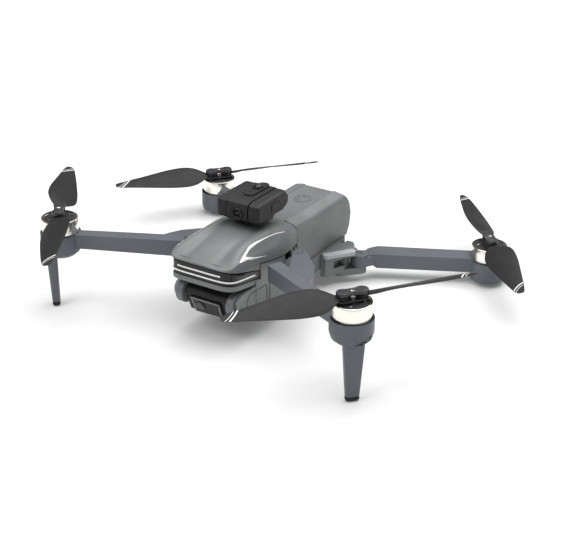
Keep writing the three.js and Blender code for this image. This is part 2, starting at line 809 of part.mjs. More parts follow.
function rearArm() {
  const { length, place } = beamFrame(REAR_BEAM, REAR);
  const { top, bottom, width } = REAR_BEAM;
  const section = (s, low, high, grow) => {
    const half = (width / 2) * grow;
    return [
      place(s, -half, low + 0.8),
      place(s, 1 - half, low),
      place(s, half - 1, low),
      place(s, half, low + 0.8),
      place(s, half, high),
      place(s, -half, high),
    ].reverse();
  };
  const beam = loft(
    [
      section(-0.5, bottom + 2.4, top - 1.6, 0.8),
      section(3, bottom + 2.2, top - 0.8, 0.95),
      section(6.5, bottom, top, 1),
      section(length - 6, bottom, top, 0.94),
    ].reverse(),
  );
  const { x, y } = REAR_HINGE;
  const neck = prism(capsule(x, y, 5.6, x + 5, y + 9, 5.6), KNUCKLE.low, KNUCKLE.high - 1.4);
  const knuckle = disc(x, y, KNUCKLE.low, KNUCKLE.high, 5.6, 28);
  const pod = podBody(REAR_POD_BASE).translate([REAR.x, REAR.y, REAR.rim]);
  const rimRoom = disc(REAR.x, REAR.y, REAR.rim - 1.4, REAR.rim + 9, POD_RADIUS - 1.1, 24);
  const bore = disc(x, y, 2, 30, PIN_RADIUS + GAP, 20);
  return cut(join(cut(join(beam, neck, knuckle), rimRoom), pod), bore);
}

function rearFoot() {
  const high = REAR.rim - POD_DEPTH - GAP;
  return turnedAt(REAR.x, REAR.y, [[0, 0], [5.4, 0], [6, 0.6], [6, high], [0, high]], 32);
}

// The bracket's lug carries the rear arm's knuckle, and its plate reaches out above.
function rearBracket() {
  const { x, y } = REAR_HINGE;
  const wall = [[20.7, 18.5], [24.6, 18.5], [30.4, 32], [30.4, 38], [28.6, 44], [27.8, 50], [25, 53], [20.7, 53]];
  const web = prism(wall, 8.4, 20.6);
  const upper = join(
    prism([[20.7, 18.5], [24.6, 18.5], [30.4, 32], [30, 38], [26, 42], [20.7, 42]], 20.3, 23.9),
    prism(capsule(26, 29, 5.3, 33.4, 36.2, 4), 20.3, 23.9),
  );
  const lug = prism(capsule(26.5, 34, 4.2, x, y, 4.8), 5.4, KNUCKLE.low - GAP);
  const swing = disc(x, y, KNUCKLE.low - GAP, 20.3, 6.2, 32);
  const window = block(26, 40, 24.5, 33, 13, 18);
  const inside = block(0, 20.7, 0, 60, 0, 30);
  const bore = disc(x, y, 6.6, 22.6, PIN_RADIUS + GAP, 20);
  return cut(join(web, upper, lug), swing, window, inside, bore);
}

function frontPin() {
  const { x, y } = FRONT_HINGE;
  return disc(x, y, 33.7, 44.9, PIN_RADIUS, 20);
}

function rearPin() {
  return disc(REAR_HINGE.x, REAR_HINGE.y, 6.9, KNUCKLE.high - 0.2, PIN_RADIUS, 20);
}

// ---------------------------------------------------------------- assembly

function sideGroup(side) {
  const group = new THREE.Group();
  const armPaint = plastic(ARM_GREY, 0.5);
  group.add(part(side + "_front_arm", frontArm(), armPaint));
  group.add(part(side + "_rear_arm", rearArm(), armPaint));
  group.add(part(side + "_front_leg", frontLeg(), armPaint));
  group.add(part(side + "_front_foot", frontFoot(), plastic(RUBBER_BLACK, 0.9)));
  group.add(part(side + "_rear_foot", rearFoot(), plastic(RUBBER_BLACK, 0.9)));
  group.add(part(side + "_rear_bracket", rearBracket(), plastic(SHELL_GREY, 0.5)));
  group.add(part(side + "_front_hinge_pin", frontPin(), metal(STEEL, 0.3)));
  group.add(part(side + "_rear_hinge_pin", rearPin(), metal(STEEL, 0.3)));
  group.add(part(side + "_camera_cheek", yokeCheek(), plastic(SHELL_GREY, 0.45)));
  group.add(part(side + "_module_cap", moduleCap(), plastic(MATTE_BLACK, 0.45)));
  for (const [station, angle] of [[FRONT, FRONT_PROP_ANGLE], [REAR, REAR_PROP_ANGLE]]) {
    const coil = part(side + "_" + station.name + "_stator", stator(), metal(COPPER, 0.4));
    coil.position.set(station.x, station.y, station.rim);
    group.add(coil, propeller(station, angle, side));
  }
  group.scale.x = side === "left" ? 1 : -1;
  return group;
}

const drone = new THREE.Group();
const shellPaint = plastic(SHELL_GREY, 0.45);
drone.add(part("top_shell", topShell(), shellPaint));
drone.add(part("lower_shell", lowerShell(), shellPaint));
drone.add(part("light_bar", lightBar(), plastic(GLOSS_BLACK, 0.1)));
drone.add(part("light_strip_upper", upperStrip(), plastic(LIGHT_WHITE, 0.3)));
drone.add(part("light_strip_lower", lowerStrip(), plastic(LIGHT_WHITE, 0.3)));
drone.add(part("battery_case", batteryCase(), shellPaint));
drone.add(part("power_button", powerButton(), shellPaint));
drone.add(part("main_board", mainBoard(), plastic(BOARD_GREEN, 0.6)));
drone.add(part("belly_sensor", bellySensor(), plastic(GLOSS_BLACK, 0.15)));
drone.add(part("camera_body", cameraBody(), plastic(MATTE_BLACK, 0.4)));
drone.add(part("camera_panel", cameraPanel(), plastic(GLOSS_BLACK, 0.15)));
drone.add(part("camera_lens", cameraLens(), plastic(GLOSS_BLACK, 0.05)));
drone.add(part("module_base", moduleBase(), plastic(MATTE_BLACK, 0.6)));
drone.add(part("module_centre", moduleCentre(), plastic(MATTE_BLACK, 0.45)));
drone.add(part("module_dome", moduleDome(), plastic(GLOSS_BLACK, 0.05)));
drone.add(part("module_front_lens", moduleFrontLens(), plastic(GLOSS_BLACK, 0.1)));
drone.add(sideGroup("left"), sideGroup("right"));

// The origin lies under the middle of the outline that the resting propellers draw.
const extent = new THREE.Box3().setFromObject(drone, true);
drone.position.y = -(extent.min.y + extent.max.y) / 2;

export default drone;
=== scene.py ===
import math

import bmesh
import bpy
import numpy as np
from mathutils import Matrix, Vector


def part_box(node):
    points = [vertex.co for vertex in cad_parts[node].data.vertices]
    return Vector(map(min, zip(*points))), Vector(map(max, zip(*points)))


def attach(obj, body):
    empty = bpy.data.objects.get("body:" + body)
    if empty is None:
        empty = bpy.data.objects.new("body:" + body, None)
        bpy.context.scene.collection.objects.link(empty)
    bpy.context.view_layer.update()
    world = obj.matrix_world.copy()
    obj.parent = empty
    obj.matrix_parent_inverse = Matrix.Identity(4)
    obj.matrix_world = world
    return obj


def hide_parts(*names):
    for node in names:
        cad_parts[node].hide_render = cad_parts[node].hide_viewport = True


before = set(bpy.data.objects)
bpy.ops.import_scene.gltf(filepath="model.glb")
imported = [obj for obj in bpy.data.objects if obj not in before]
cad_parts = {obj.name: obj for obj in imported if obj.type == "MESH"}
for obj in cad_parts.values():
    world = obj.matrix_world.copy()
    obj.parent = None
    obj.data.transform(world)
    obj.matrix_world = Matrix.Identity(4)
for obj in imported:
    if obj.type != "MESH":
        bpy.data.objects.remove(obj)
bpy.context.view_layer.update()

# Pieces are laid out in millimetres from the ground point midway between the motors.
# The frame's origin is at another place along Y, and OFFSET_Y is the distance in metres.
MM = 0.001
MOTOR_Y = 87.1
bell_low, bell_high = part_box("left_front_motor_bell")
OFFSET_Y = (bell_low.y + bell_high.y) / 2 + MOTOR_Y * MM
SIDES = (("left", 1), ("right", -1))


# ------------------------------------------------------------------ materials

def new_material(name):
    """A material with its node tree and its shader."""
    material = bpy.data.materials.new(name)
    material.use_nodes = True
    tree = material.node_tree
    shader = tree.nodes["Principled BSDF"]
    return material, tree, shader


def noise(tree, scale, detail=3.0, stretch=None):
    """Noise over the object's own coordinates, with features of about 1/scale metres."""
    coords = tree.nodes.new("ShaderNodeTexCoord")
    texture = tree.nodes.new("ShaderNodeTexNoise")
    texture.inputs["Scale"].default_value = scale
    texture.inputs["Detail"].default_value = detail
    source = coords.outputs["Object"]
    if stretch:
        mapping = tree.nodes.new("ShaderNodeMapping")
        mapping.inputs["Scale"].default_value = stretch
        tree.links.new(source, mapping.inputs["Vector"])
        source = mapping.outputs["Vector"]
    tree.links.new(source, texture.inputs["Vector"])
    return texture.outputs["Fac"]


def ramp(tree, source, low, high, low_at=0.3, high_at=0.7):
    """A blend from one colour to another, led by a source."""
    node = tree.nodes.new("ShaderNodeValToRGB")
    node.color_ramp.elements[0].position = low_at
    node.color_ramp.elements[1].position = high_at
    node.color_ramp.elements[0].color = (*low, 1)
    node.color_ramp.elements[1].color = (*high, 1)
    tree.links.new(source, node.inputs["Fac"])
    return node.outputs["Color"]


MOTTLE, GLOSS_PATCH = 55, 240  # how fine the mottling and the uneven gloss of plastic are, per metre
GRAIN_HEIGHT = 0.00012


def moulded(name, color, roughness, spread=0.08, grain=2600, relief=0.12, specular=0.5):
    """Moulded plastic: soft mottling of colour, a fine grain and uneven gloss."""
    material, tree, shader = new_material(name)
    dark = tuple(c * (1 - spread) for c in color)
    light = tuple(c * (1 + spread) for c in color)
    tree.links.new(ramp(tree, noise(tree, MOTTLE), dark, light), shader.inputs["Base Color"])
    fine = noise(tree, grain, 2.0)
    low, high = roughness - 0.05, roughness + 0.06
    gloss = ramp(tree, noise(tree, GLOSS_PATCH), (low,) * 3, (high,) * 3)
    tree.links.new(gloss, shader.inputs["Roughness"])
    bump = tree.nodes.new("ShaderNodeBump")
    bump.inputs["Strength"].default_value = relief
    bump.inputs["Distance"].default_value = GRAIN_HEIGHT
    tree.links.new(fine, bump.inputs["Height"])
    tree.links.new(bump.outputs["Normal"], shader.inputs["Normal"])
    shader.inputs["Specular IOR Level"].default_value = specular
    return material


def turned_metal(name, color, roughness, stretch=(40, 40, 2200)):
    """Metal with faint marks round it, from the lathe."""
    material, tree, shader = new_material(name)
    dark = tuple(c * 0.93 for c in color)
    tree.links.new(ramp(tree, noise(tree, 30), dark, color), shader.inputs["Base Color"])
    marks = noise(tree, 1.0, 4.0, stretch)
    gloss = ramp(tree, marks, (roughness * 0.7,) * 3, (roughness * 1.3,) * 3)
    tree.links.new(gloss, shader.inputs["Roughness"])
    shader.inputs["Metallic"].default_value = 1.0
    return material


SHELL = moulded("satin_grey_shell", (0.145, 0.152, 0.153), 0.43)
ARM = moulded("blue_grey_arm", (0.092, 0.101, 0.117), 0.42)
# Pale grey for the strip on top of each rear bracket; part of its paleness is a painted highlight, the light
# its top face catches.
PALE_STRIP_AND_SHEEN = moulded("pale_grey_and_painted_highlight", (0.36, 0.37, 0.385), 0.38)
CHEEK = moulded("cheek_grey", (0.13, 0.137, 0.14), 0.4)
BLADE = moulded("prop_grey", (0.020, 0.020, 0.021), 0.5, spread=0.1, grain=1800, specular=0.2)
BLACK = moulded("matt_black", (0.015, 0.015, 0.016), 0.45, spread=0.12, specular=0.3)
DARK = moulded("dark_recess", (0.010, 0.010, 0.011), 0.6, spread=0.15)
HUB = moulded("hub_black", (0.030, 0.030, 0.034), 0.38, spread=0.12)
GLOSS = moulded("gloss_black", (0.006, 0.006, 0.007), 0.16, spread=0.2, relief=0.01, specular=0.35)
PUPIL = moulded("lens_grey", (0.045, 0.047, 0.05), 0.25, spread=0.1, relief=0.0)
ROOT = moulded("arm_root_grey", (0.085, 0.092, 0.105), 0.45)
LENS = moulded("lens_black", (0.004, 0.004, 0.006), 0.1, spread=0.2, relief=0.0, specular=0.4)
RUBBER = moulded("rubber_black", (0.016, 0.016, 0.016), 0.75, spread=0.15, grain=1500, relief=0.3)
WHITE = moulded("white_print", (0.82, 0.82, 0.80), 0.35, spread=0.02, relief=0.03)
SILVER_LINE = moulded("pale_line", (0.55, 0.56, 0.56), 0.35, spread=0.03, relief=0.03)
MARK = moulded("dark_mark", (0.07, 0.073, 0.075), 0.4, spread=0.06)
BOARD = moulded("circuit_board", (0.02, 0.10, 0.05), 0.45, spread=0.2)
CHROME = turned_metal("nickel_plate", (0.86, 0.83, 0.76), 0.13)
STEEL = turned_metal("steel_pin", (0.62, 0.62, 0.63), 0.25)
COPPER = turned_metal("copper_winding", (0.72, 0.38, 0.2), 0.35)


# ------------------------------------------------------------------ shapes

class Shape:
    """Gathers points in millimetres and faces, each with the number of its material."""

    def __init__(self):
        self.points = []
        self.faces = []
        self.slots = []

    def add(self, points, faces, slot=0):
        start = len(self.points)
        self.points += [tuple(p) for p in points]
        self.faces += [tuple(start + i for i in face) for face in faces]
        self.slots += [slot] * len(faces)

    def grid(self, rows, closed=True, caps=True, slot=0):
        """Quads between rows of equal length; each row is a ring if closed, and the end rows are capped."""
        count = len(rows[0])
        faces = []
        for j in range(len(rows) - 1):
            for i in range(count if closed else count - 1):
                a, b = j * count + i, j * count + (i + 1) % count
                faces.append((a, b, b + count, a + count))
        if caps and closed:
            faces.append(tuple(reversed(range(count))))
            last = (len(rows) - 1) * count
            faces.append(tuple(range(last, last + count)))
        self.add([p for row in rows for p in row], faces, slot)

    def lathe(self, profile, centre=(0, 0, 0), turn=None, segments=72, slot=0):
        """Turns (radius, height) points about Z, then turns the result and moves it to its centre."""
        turn = turn or Matrix.Identity(3)
        rows = []
        for radius, height in profile:
            ring = []
            for i in range(segments):
                a = math.tau * i / segments
                p = turn @ Vector((radius * math.cos(a), radius * math.sin(a), height))
                ring.append(tuple(p + Vector(centre)))
            rows.append(ring)
        self.grid(rows, slot=slot)

    def prism(self, outline, low, high, slot=0):
        self.grid([[(x, y, low) for x, y in outline], [(x, y, high) for x, y in outline]], slot=slot)

    def tube(self, path, radius, sides=8, slot=0, loop=False):
        """A thin round line along a path of points."""
        points = [Vector(p) for p in path]
        rows = []
        count = len(points)
        for i, p in enumerate(points):
            before = points[(i - 1) % count] if loop or i else p
            after = points[(i + 1) % count] if loop or i + 1 < count else p
            along = (after - before).normalized()
            side = along.cross(Vector((0, 0, 1)))
            if side.length < 0.05:
                side = along.cross(Vector((0, 1, 0)))
            side.normalize()
            up = side.cross(along)
            turns = [math.tau * k / sides for k in range(sides)]
            rows.append([p + radius * (math.cos(a) * side + math.sin(a) * up) for a in turns])
        if loop:
            rows.append(rows[0])
        self.grid(rows, caps=not loop, slot=slot)

    def moved(self, matrix):
        self.points = [tuple(matrix @ Vector(p)) for p in self.points]
        return self


TURN_X = Matrix.Rotation(math.radians(90), 3, "Y")  # a lathe's axis along +X
TURN_Y = Matrix.Rotation(math.radians(-90), 3, "X")  # a lathe's axis along +Y


SMOOTH_ANGLE = 40


def shade_smooth(bm, degrees):
    """Shades everything smooth but the edges sharper than the angle."""
    for face in bm.faces:
        face.smooth = True
    for edge in bm.edges:
        if len(edge.link_faces) == 2 and edge.calc_face_angle(0) > math.radians(degrees):
            edge.smooth = False


def finish(bm, name, materials, body, nodes, bevel, angle, segments=3):
    """Makes an object of the mesh, rounds its sharp edges and hangs it on its body."""
    bmesh.ops.recalc_face_normals(bm, faces=bm.faces)
    shade_smooth(bm, SMOOTH_ANGLE)
    mesh = bpy.data.meshes.new(name)
    bm.to_mesh(mesh)
    bm.free()
    obj = bpy.data.objects.new(name, mesh)
    bpy.context.scene.collection.objects.link(obj)
    for material in materials:
        mesh.materials.append(material)
    if bevel:
        rounding = obj.modifiers.new("rounding", "BEVEL")
        rounding.width = bevel * MM
        rounding.segments = segments
        rounding.limit_method = "ANGLE"
        rounding.angle_limit = math.radians(angle)
        rounding.harden_normals = True
        rounding.use_clamp_overlap = True
    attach(obj, body)
    if nodes:
        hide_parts(*nodes)
    return obj


def piece(name, shape, materials, body, nodes=(), mirror=False, bevel=0.0, angle=30, segments=3):
    """Turns a shape into an object; mirror puts it on the right side."""
    sign = -1 if mirror else 1
    bm = bmesh.new()
    verts = [bm.verts.new((sign * x * MM, y * MM + OFFSET_Y, z * MM)) for x, y, z in shape.points]
    for face, material in zip(shape.faces, shape.slots):
        loop = [verts[i] for i in (reversed(face) if mirror else face)]
        try:
            bm.faces.new(loop).material_index = material
        except ValueError:
            pass
    bmesh.ops.remove_doubles(bm, verts=bm.verts, dist=1e-6)
    bmesh.ops.dissolve_degenerate(bm, edges=bm.edges, dist=1e-7)
    return finish(bm, name, materials, body, nodes, bevel, angle, segments)


FLAT_ANGLE = 1.0  # faces that turn less than this, in degrees, are one flat face


def refined(node, name, material, body, bevel=0.4, angle=30):
    """A CAD solid with its flat faces made whole and its edges rounded."""
    bm = bmesh.new()
    bm.from_mesh(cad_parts[node].data)
    bmesh.ops.remove_doubles(bm, verts=bm.verts, dist=2e-6)
    bmesh.ops.dissolve_limit(bm, angle_limit=math.radians(FLAT_ANGLE), verts=bm.verts, edges=bm.edges)
    plain = bmesh.new()
    verts = [plain.verts.new(v.co) for v in bm.verts]
    for face in bm.faces:
        plain.faces.new([verts[v.index] for v in face.verts])
    bm.free()
    return finish(plain, name, [material], body, [node], bevel, angle)


def spline(xs, ys, x):
    """A smooth curve through points, level with the data at its ends."""
    xs = np.asarray(xs, float)
    ys = np.asarray(ys, float)
    x = float(np.clip(x, xs[0], xs[-1]))
    i = int(np.clip(np.searchsorted(xs, x) - 1, 0, len(xs) - 2))

    def slope(k):
        if k == 0:
            return (ys[1] - ys[0]) / (xs[1] - xs[0])
        if k == len(xs) - 1:
            return (ys[-1] - ys[-2]) / (xs[-1] - xs[-2])
        return (ys[k + 1] - ys[k - 1]) / (xs[k + 1] - xs[k - 1])

    h = xs[i + 1] - xs[i]
    t = (x - xs[i]) / h
    return ((2 * t**3 - 3 * t**2 + 1) * ys[i] + (t**3 - 2 * t**2 + t) * h * slope(i)
            + (3 * t**2 - 2 * t**3) * ys[i + 1] + (t**3 - t**2) * h * slope(i + 1))


def arc(centre, radius, start, sweep, steps):
    """Points of an arc in a plane; its angles are in degrees."""
    turns = [math.radians(start + sweep * k / steps) for k in range(steps + 1)]
    return [(centre[0] + radius * math.cos(a), centre[1] + radius * math.sin(a)) for a in turns]


def circle(x, y, radius, height, count):
    """Points of a level circle."""
    turns = [math.tau * k / count for k in range(count)]
    return [(x + radius * math.cos(a), y + radius * math.sin(a), height) for a in turns]


def even(points, count):
    """A number of points evenly spaced along a polyline."""
    array = np.array(points, float)
    steps = np.linalg.norm(np.diff(array, axis=0), axis=1)
    lengths = np.concatenate(([0.0], np.cumsum(steps)))
    wanted = np.linspace(0, lengths[-1], count)
    return [tuple(np.interp(w, lengths, array[:, k]) for k in range(array.shape[1])) for w in wanted]


# ------------------------------------------------------------------ body outline

NOSE_Y, NOSE_HALF, NOSE_DEPTH, NOSE_POWER = -64.0, 23.4, 22.5, 6.0
NOSE_TIP = NOSE_Y - NOSE_DEPTH
BODY_HALF, BATTERY_HALF = 24.0, 20.9
SHOULDER_START, TAPER_START, SEAM = -46.0, -38.0, -10.3
GAP = 0.3  # between neighbouring shells

# The edges round the nose drop towards the rear: height at the tip and fall per millimetre along Y.
BAR_END, STRIP_END = -55.3, -60.0
BAR_LOW, BAR_HIGH = (43.5, 0.184), (52.5, 0.3)
CHIN_LOW, LOWER_STRIP, UPPER_STRIP = (40.1, 0.176), (45.9, 0.158), (49.05, 0.0)
UPPER_STRIP_HALF = 15.3  # the upper strip stays on the front of the bar


def edge_at(edge, y):
    """An edge's height at a place along Y."""
    tip, fall = edge
    return tip - fall * (y - NOSE_TIP)


def side_half(y):
    """Half the body's width along its sides."""
    if y < SHOULDER_START:
        return NOSE_HALF + (BODY_HALF - NOSE_HALF) * (y - NOSE_Y) / (SHOULDER_START - NOSE_Y)
    return BODY_HALF


def nose_path(inset, end, steps=160):
    """The nose's plan from the right side round the front to the left side."""
    half, depth = NOSE_HALF - inset, NOSE_DEPTH - inset
    points = [(side_half(end) - inset, end)]
    for i in range(steps + 1):
        a = math.pi * i / steps
        c, s = math.cos(a), math.sin(a)
        x = half * math.copysign(abs(c) ** (2 / NOSE_POWER), c)
        points.append((x, NOSE_Y - depth * max(s, 0) ** (2 / NOSE_POWER)))
    points.append((inset - side_half(end), end))
    return points[::-1]


def band(shape, end, section, count=150, limit=None):
    """Sweeps a section round the nose; its points are inset, edge and height above that edge."""
    paths = [even(nose_path(inset, end), count) for inset, _, _ in section]
    rings = []
    for i in range(count):
        ring = []
        for (_, edge, lift), path in zip(section, paths):
            x, y = path[i]
            ring.append((x, y, edge_at(edge, y) + lift))
        if limit is None or abs(ring[0][0]) < limit:
            rings.append(ring)
    shape.grid(rings)


# The hood's heights: each station has its Y and the heights at these distances from the middle.
HOOD_ACROSS = [-6, 0, 6, 11, 16, 19.5, 22, 26]
HOOD_STATIONS = [
    (-90, [53.4, 53.4, 53.3, 53.2, 53.0, 52.8, 52.4]),
    (-84, [54.8, 54.7, 54.3, 54.2, 54.2, 54.0, 53.4]),
    (-78, [56.6, 56.4, 55.7, 56.6, 57.0, 56.3, 54.0]),
    (-70, [58.8, 58.5, 57.8, 59.6, 59.4, 57.2, 53.0]),
    (-60, [60.6, 60.3, 59.6, 61.2, 59.6, 56.3, 51.5]),
    (-48, [61.6, 61.3, 60.7, 61.6, 59.9, 56.0, 50.5]),
    (-36, [61.4, 61.1, 60.6, 61.2, 59.6, 56.0, 50.0]),
    (-24, [60.0, 59.7, 59.3, 59.4, 58.2, 56.2, 49.5]),
    (SEAM, [57.0, 56.8, 56.2, 55.2, 53.4, 49.6, 43.0]),
]
HOOD_Y = [y for y, _ in HOOD_STATIONS]
POCKET_START = -27.0  # the hood's edge is level from here to the rear


def hood_height(x, y):
    """The hood's top surface."""
    columns = [spline(HOOD_Y, [row[k] for _, row in HOOD_STATIONS], y) for k in range(len(HOOD_ACROSS) - 1)]
    return spline(HOOD_ACROSS, [columns[1]] + columns, abs(x))


def hood_edge(y):
    """The hood's lower edge, above the light bar and then above the arm's pocket."""
    if y < BAR_END + GAP:
        return edge_at(BAR_HIGH, y) + GAP
    return float(np.interp(y, [BAR_END, SHOULDER_START, POCKET_START], [47.6, 45.6, 41.8]))


def hood_lip(y):
    """The line along the hood's side where it steps in."""
    places = [NOSE_TIP, -76, -65.5, -55, SHOULDER_START, POCKET_START]
    return float(np.interp(y, places, [53.2, 52.0, 50.2, 48.2, 46.4, 42.6]))


def hood_outline(inset=0.0):
    """The hood's plan, moved in by an inset."""
    points = nose_path(inset, SHOULDER_START)
    rear = [(BODY_HALF - inset, TAPER_START), (22.4 - inset, -22), (BATTERY_HALF - inset, SEAM - inset)]
    return points + rear + [(-x, y) for x, y in reversed(rear)]


SLOPE_START = 17.0  # the hood's outer slope begins at this distance from the middle
HALVINGS = 40


def nose_half_at(y):
    """Half the nose's width, or the side's behind it."""
    if y >= NOSE_Y:
        return side_half(y)
    share = min(1.0, (NOSE_Y - y) / NOSE_DEPTH)
    return NOSE_HALF * (1 - share**NOSE_POWER) ** (1 / NOSE_POWER)


def hood_skin(y, height):
    """The hood's half-width at a height, on its outer slope or its side."""
    low, high = SLOPE_START, min(side_half(y), nose_half_at(y))
    if hood_height(high, y) >= height:
        return high
    for _ in range(HALVINGS):
        middle = (low + high) / 2
        if hood_height(middle, y) >= height:
            low = middle
        else:
            high = middle
    return low


HOOD_POINTS = 330  # round the hood's outline
HOOD_ROUNDING, ROUNDING_SHARE = 0.75, 0.7


def build_hood():
    """A skirt round the hood's outline and the crowned top within it."""
    shape = Shape()

    def loop(inset):
        points = hood_outline(inset)
        return even(points + [points[0]], HOOD_POINTS + 1)[:-1]

    def lip(x, y):
        return max(hood_edge(y) + GAP, min(hood_lip(y), hood_height(x, y) - 0.85))

    outline = loop(0.0)
    rows = [
        [(x, y, hood_edge(y) + 3.0) for x, y in loop(3.0)],
        [(x, y, hood_edge(y)) for x, y in loop(2.4)],
        [(x, y, hood_edge(y)) for x, y in loop(0.7)],
        [(x, y, hood_edge(y) + 0.15) for x, y in loop(0.55)],
        [(x, y, lip(x, y) - 0.12) for x, y in loop(0.55)],
        [(x, y, lip(x, y)) for x, y in loop(0.1)],
        [(x, y, lip(x, y) + 0.1) for x, y in outline],
    ]
    spine = [(0.0, min(max(y, -72.0), -24.0)) for _, y in outline]
    shares = [0.0, 0.012, 0.03, 0.055] + list(np.linspace(0.08, 1.0, 34))
    for share in shares:
        row = []
        for (x, y), (sx, sy) in zip(outline, spine):
            px, py = x + (sx - x) * share, y + (sy - y) * share
            depth = share * math.hypot(sx - x, sy - y)
            drop = 0.0
            if depth < HOOD_ROUNDING:
                drop = HOOD_ROUNDING - math.sqrt(HOOD_ROUNDING**2 - (HOOD_ROUNDING - depth) ** 2)
            row.append((px, py, hood_height(px, py) - drop * ROUNDING_SHARE))
        rows.append(row)
    shape.grid(rows, caps=False)
    shape.faces.append(tuple(reversed(range(HOOD_POINTS))))
    shape.slots.append(0)
    piece("hood", shape, [SHELL], "fuselage", ["top_shell"], bevel=0.2, angle=38)


def skin_point(y, height, lift=0.1):
    """A point just outside the hood's slope or side."""
    x = hood_skin(y, height)
    return (x + lift * 0.8, y, height + (lift * 0.6 if x < side_half(y) - 0.05 else 0))


STRIPE_THICKNESS = 0.12


def build_stripes():
    """The two white stripes of each side of the hood, which meet in a point at the front."""
    upper = [  # y, lower height, upper height on the hood's outer slope
        (-76, 56.2, 56.3), (-72.5, 56.6, 57.4), (-69, 57.0, 58.4), (-65, 58.0, 59.2), (-62, 58.6, 59.8),
        (-59, 58.9, 60.1), (-54, 59.2, 60.2), (-48, 59.2, 59.9), (-42, 59.0, 59.5), (-34, 58.2, 58.6),
        (-25.5, 56.8, 57.0),
    ]
    lower = [
        (-76, 56.1, 56.2), (-72.5, 55.4, 56.6), (-69, 54.9, 57.0), (-65.8, 54.2, 55.9), (-60.3, 53.0, 54.0),
        (-55, 51.9, 52.4), (-49.5, 50.6, 50.8),
    ]
    for side, sign in SIDES:
        shape = Shape()
        for table in (upper, lower):
            ys = [row[0] for row in table]
            rows = []
            for y in np.linspace(ys[0], ys[-1], 48):
                low = spline(ys, [row[1] for row in table], y)
                high = spline(ys, [row[2] for row in table], y)
                rows.append([skin_point(y, low + (high - low) * k / 4) for k in range(5)])
            shape.grid(rows, closed=False)
        obj = piece(side + "_hood_stripes", shape, [WHITE], "fuselage", mirror=sign < 0)
        thick = obj.modifiers.new("thickness", "SOLIDIFY")
        thick.thickness = STRIPE_THICKNESS * MM
        thick.offset = -1


def build_nose():
    """The gloss bar round the nose, its two white strips and the chin's lip under it."""
    bar = Shape()
    bar_section = [
        (4.6, BAR_LOW, 0.2), (1.4, BAR_LOW, 0.0), (1.0, BAR_LOW, 0.35), (0.9, BAR_LOW, 0.9),
        (0.9, BAR_HIGH, -0.9), (1.0, BAR_HIGH, -0.3), (1.4, BAR_HIGH, 0.0), (4.6, BAR_HIGH, -0.2),
    ]
    band(bar, BAR_END, bar_section)
    piece("light_bar_lens", bar, [GLOSS], "fuselage", ["light_bar"], bevel=0.3, angle=50)
    for name, edge, limit in (("upper", UPPER_STRIP, UPPER_STRIP_HALF), ("lower", LOWER_STRIP, None)):
        node = "light_strip_" + name
        strip = Shape()
        strip_section = [
            (0.8, edge, -0.5), (0.55, edge, -0.45), (0.45, edge, 0.0), (0.55, edge, 0.45), (0.8, edge, 0.5),
        ]
        band(strip, STRIP_END, strip_section, limit=limit)
        piece(node + "_lens", strip, [WHITE], "fuselage", [node])
    chin = Shape()
    chin_section = [
        (7.0, CHIN_LOW, -0.05), (1.6, CHIN_LOW, -0.05), (0.8, CHIN_LOW, 0.15), (0.5, CHIN_LOW, 0.8),
        (0.5, BAR_LOW, -0.7), (0.7, BAR_LOW, -0.3), (1.0, BAR_LOW, -0.2), (7.0, BAR_LOW, -0.2),
    ]
    band(chin, BAR_END, chin_section)
    piece("chin_lip", chin, [SHELL], "fuselage", bevel=0.2, angle=50)


def rounded_path(points, radius, steps=5):
    """A closed outline with its corners rounded."""
    path = []
    count = len(points)
    for i, p in enumerate(points):
        p = Vector(p)
        before = (Vector(points[i - 1]) - p).normalized() * radius
        after = (Vector(points[(i + 1) % count]) - p).normalized() * radius
        for k in range(steps + 1):
            t = k / steps
            path.append(tuple(p + before * (1 - t) ** 2 + after * t**2))
    return path


PANEL_END, PANEL_FACE = -60.2, 23.3
SLOT_FACE, SLOT_HEIGHTS = 24.04, (17.4, 42.2)


def panel_x(y):
    """The side panel's outer face."""
    if y < PANEL_END:
        return PANEL_FACE
    return side_half(max(y, NOSE_Y)) - 0.02


def build_lower_shell():
    """The belly and sides, with a panel's groove and the slot beside the front arm."""
    refined("lower_shell", "lower_body", SHELL, "fuselage", bevel=0.5)
    for side, sign in SIDES:
        panel = Shape()
        corners = [(-69.2, 22.0), (-69.6, 28.6), (-66.2, 31.8), (-48.9, 31.8), (-48.9, 16.4), (-64.6, 16.4)]
        path = rounded_path([(0, y, z) for y, z in corners], 2.2)
        line = [(panel_x(y) + 0.05, y, z) for _, y, z in path]
        panel.tube(line, 0.28, loop=True)
        piece(side + "_panel_groove", panel, [MARK], "fuselage", mirror=sign < 0)
        slot = Shape()
        near, far = SHOULDER_START - 0.5, SHOULDER_START + 0.4
        slot.prism([(23.2, near), (SLOT_FACE, near), (SLOT_FACE, far), (23.2, far)], *SLOT_HEIGHTS)
        piece(side + "_shoulder_slot", slot, [DARK], "fuselage", mirror=sign < 0)


# ------------------------------------------------------------------ battery

BATTERY_LOW = 24.3
DECK, BUTTON_Y = 54.4, 29.0
RAMP_END = 7.0  # the battery's lower edge comes down from the seam to here
RAMP_TOP, RAMP_DROP, RAMP_SHARE_TOP = 39.2, 15.0, 40.0
NOSE_LIFT_END, NOSE_LIFT_LENGTH = 8.0, 18.0  # the top rises by a millimetre towards the seam
END_SHARE, END_PINCH = 0.96, 0.035  # the last part of the length draws in a little
BUTTON_FACE = 55.0


def battery_profile():
    """Half of the battery's section from its lower edge to the middle of the deck."""
    return [
        (19.3, BATTERY_LOW), (20.1, 31), (BATTERY_HALF, 40), (BATTERY_HALF, 46), (20.75, 48.5), (20.4, 50.5),
        (19.9, 51.9), (19.3, 52.8), (18.6, 53.35), (17.8, 53.7), (12.4, 55.25), (11.8, 55.4), (11.3, 55.1),
        (10.8, DECK + 0.05), (10.2, DECK), (5, DECK), (0, DECK),
    ]


